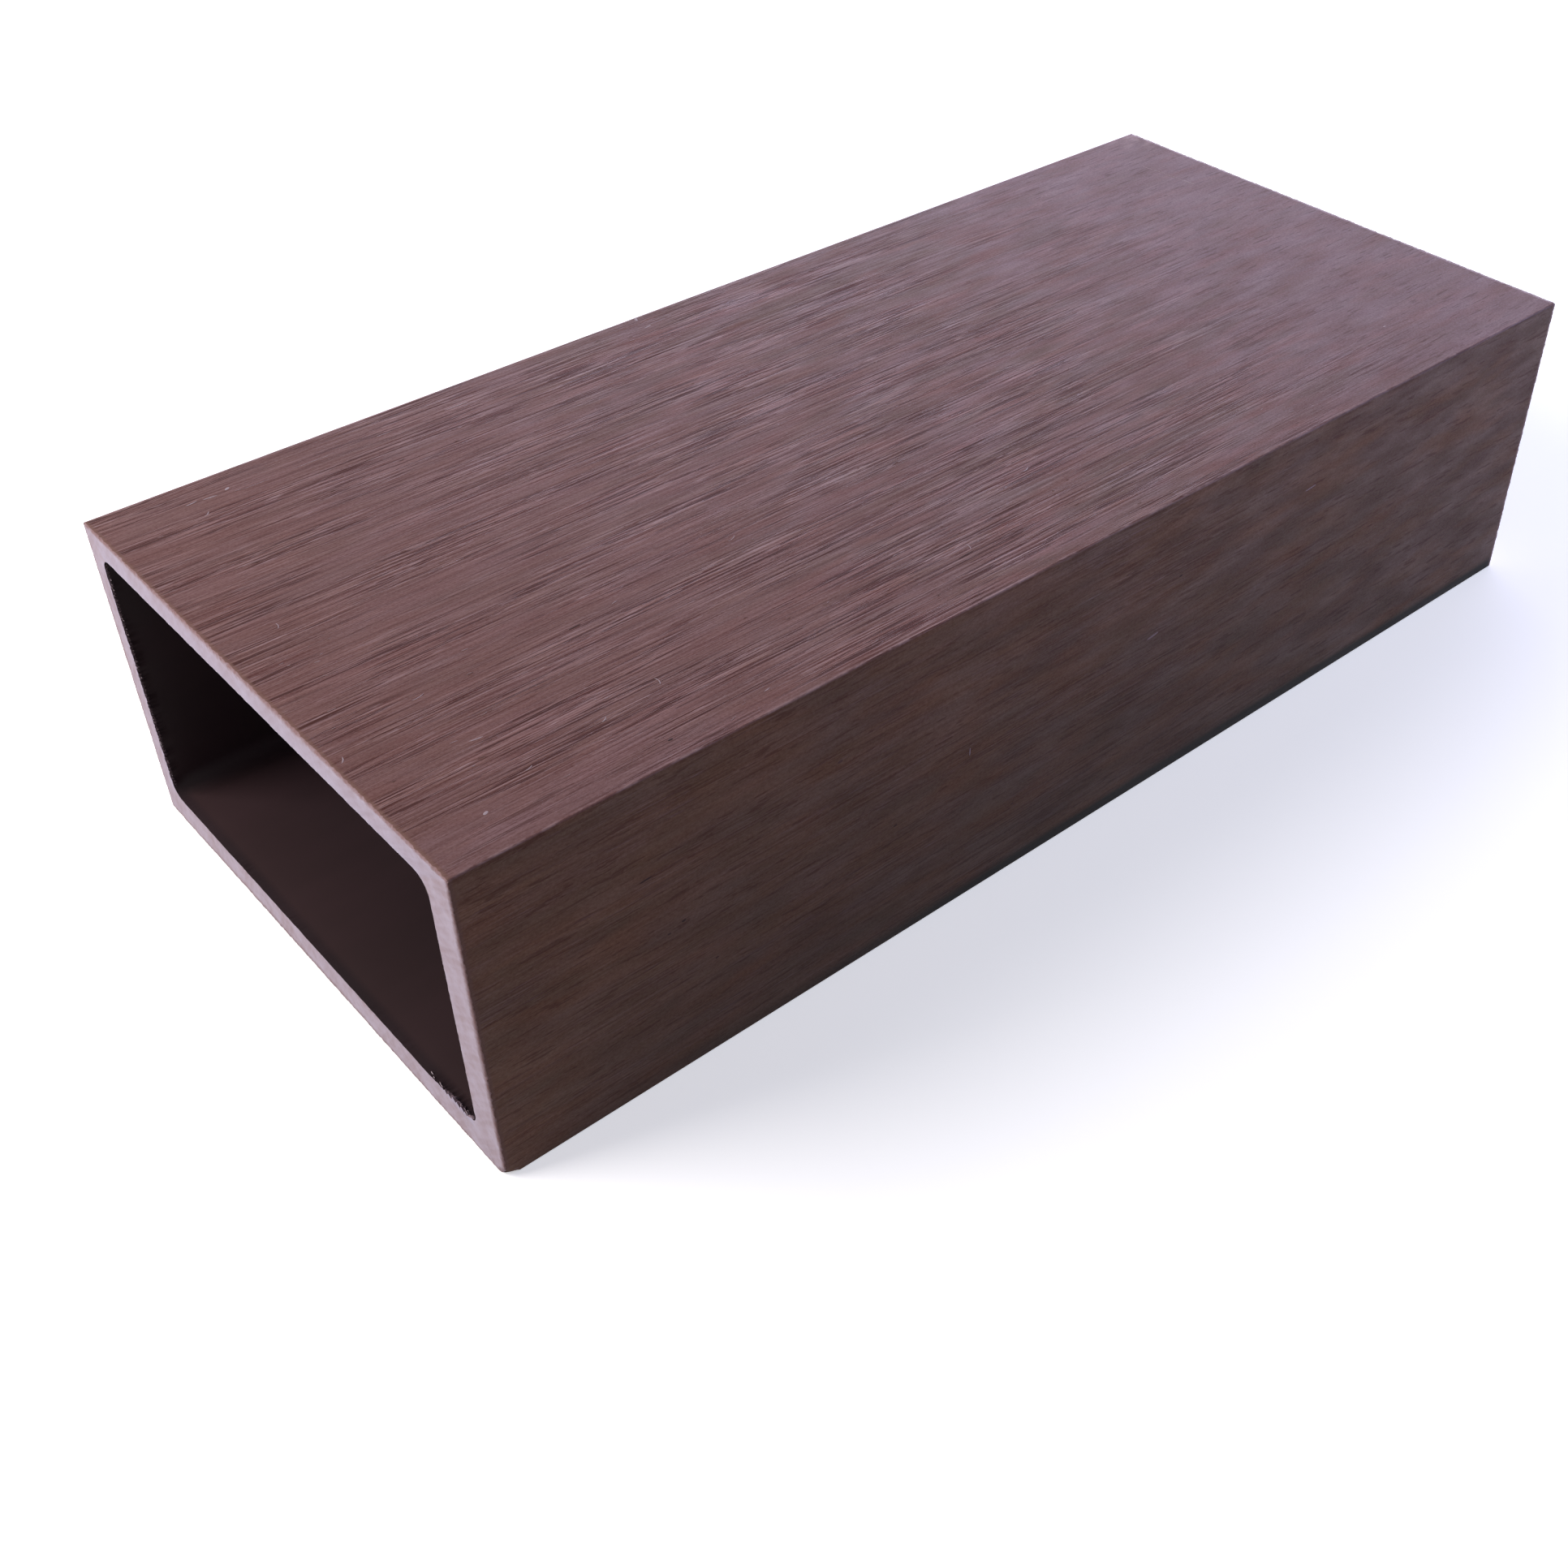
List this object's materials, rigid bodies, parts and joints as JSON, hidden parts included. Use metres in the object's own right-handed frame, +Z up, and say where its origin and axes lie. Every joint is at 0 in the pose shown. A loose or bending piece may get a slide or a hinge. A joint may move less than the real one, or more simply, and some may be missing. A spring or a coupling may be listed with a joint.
{
  "type": "composite handrail",
  "caption": "Short cut length of hollow rectangular handrail in brown wood-plastic composite, brushed along the grain outside, sawn square and open at both ends.",
  "frame": {"origin": "middle of the broad base that the rail lies on", "axes": "+X along the rail, from the cut end that the picture shows open to the far one; +Y across the rail, from its thick front wall to its thin back wall; +Z up"},
  "size_m": [0.243, 0.11, 0.06],
  "materials": {
    "wood_composite": "brown wood-plastic composite, brushed along its length to a matt wood grain; pale and dull where sawn, dark and satin inside the hollow"
  },
  "bodies": {
    "root": {"handrail_tube": "wood_composite"}
  },
  "joints": []
}
